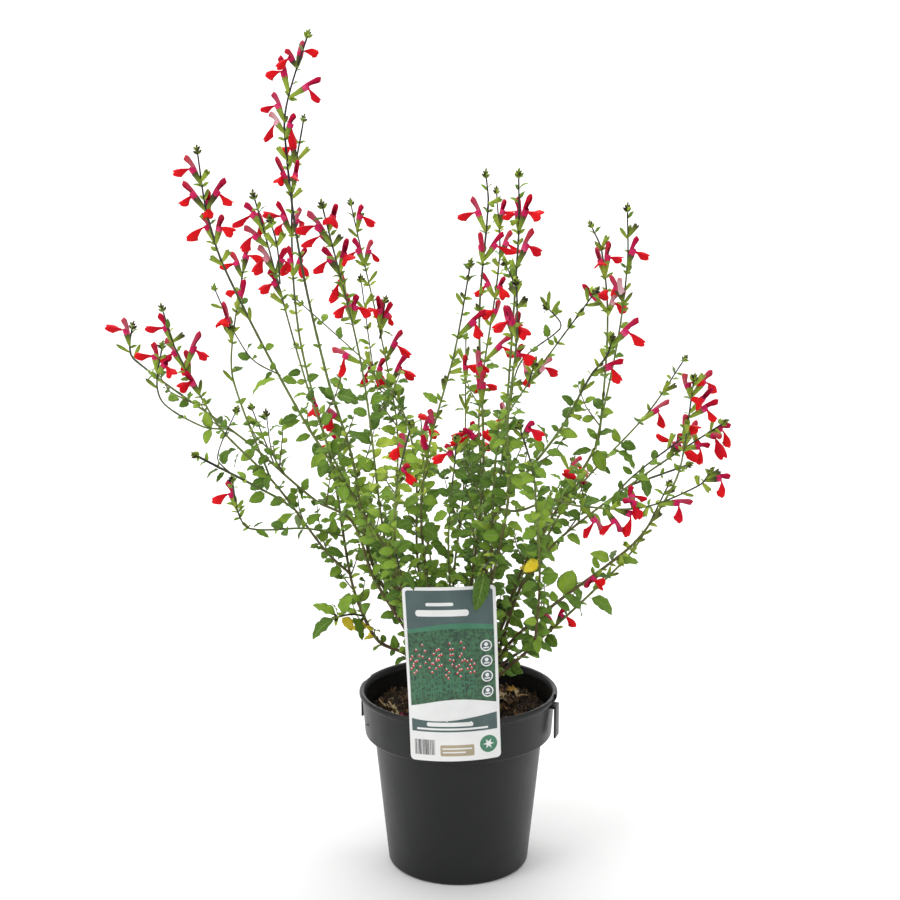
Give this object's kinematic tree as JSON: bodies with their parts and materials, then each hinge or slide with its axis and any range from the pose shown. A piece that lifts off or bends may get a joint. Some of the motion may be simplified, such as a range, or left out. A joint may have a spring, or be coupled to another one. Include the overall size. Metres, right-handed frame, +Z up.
{
  "type": "potted flowering shrub",
  "caption": "Open, bushy flowering sage with slender leafy stems and red lipped flowers, in a tapered black nursery pot with a plastic plant label.",
  "frame": {"origin": "centre of the pot's flat underside", "axes": "+Z up along the pot's axis, -Y towards the label at the front, +X to the right as seen from the front"},
  "size_m": [0.6198, 0.4137, 0.8282],
  "materials": {
    "pot_plastic": "injection-moulded black polypropylene with a soft satin sheen",
    "potting_mix": "damp composted bark, rough and crumbly",
    "label_plastic": "thin printed plastic sheet, smooth",
    "dry_litter": "dry, curled, matt",
    "petal": "soft, slightly velvety petal",
    "leafy_stem": "green leaves and stems, softly matt, with red flowers"
  },
  "bodies": {
    "root": {"pot": "pot_plastic", "potting_mix": "potting_mix", "plant_label": "label_plastic", "dry_twig": "dry_litter", "dry_stick": "dry_litter", "dry_leaf_pale": "dry_litter", "dry_leaf_ochre": "dry_litter", "fallen_petal": "petal", "left_outer_stem": "leafy_stem", "left_far_stem": "leafy_stem", "left_tall_stem": "leafy_stem", "left_mid_shoot": "leafy_stem", "tallest_stem": "leafy_stem", "front_left_stem": "leafy_stem", "back_left_stem": "leafy_stem", "centre_thin_stem": "leafy_stem", "front_centre_stem": "leafy_stem", "back_centre_stem": "leafy_stem", "centre_tall_stem": "leafy_stem", "back_right_stem": "leafy_stem", "right_tall_stem": "leafy_stem", "front_right_stem": "leafy_stem", "right_back_stem": "leafy_stem", "right_upright_stem": "leafy_stem", "right_leaning_stem": "leafy_stem", "right_high_stem": "leafy_stem", "right_fan_stem": "leafy_stem", "right_low_stem": "leafy_stem", "right_lowest_stem": "leafy_stem", "front_low_stem": "leafy_stem", "back_bushy_stem": "leafy_stem", "front_bushy_stem": "leafy_stem", "back_mid_stem": "leafy_stem", "front_mid_stem": "leafy_stem", "back_bushy_right_stem": "leafy_stem", "back_bushy_left_stem": "leafy_stem"}
  },
  "joints": []
}
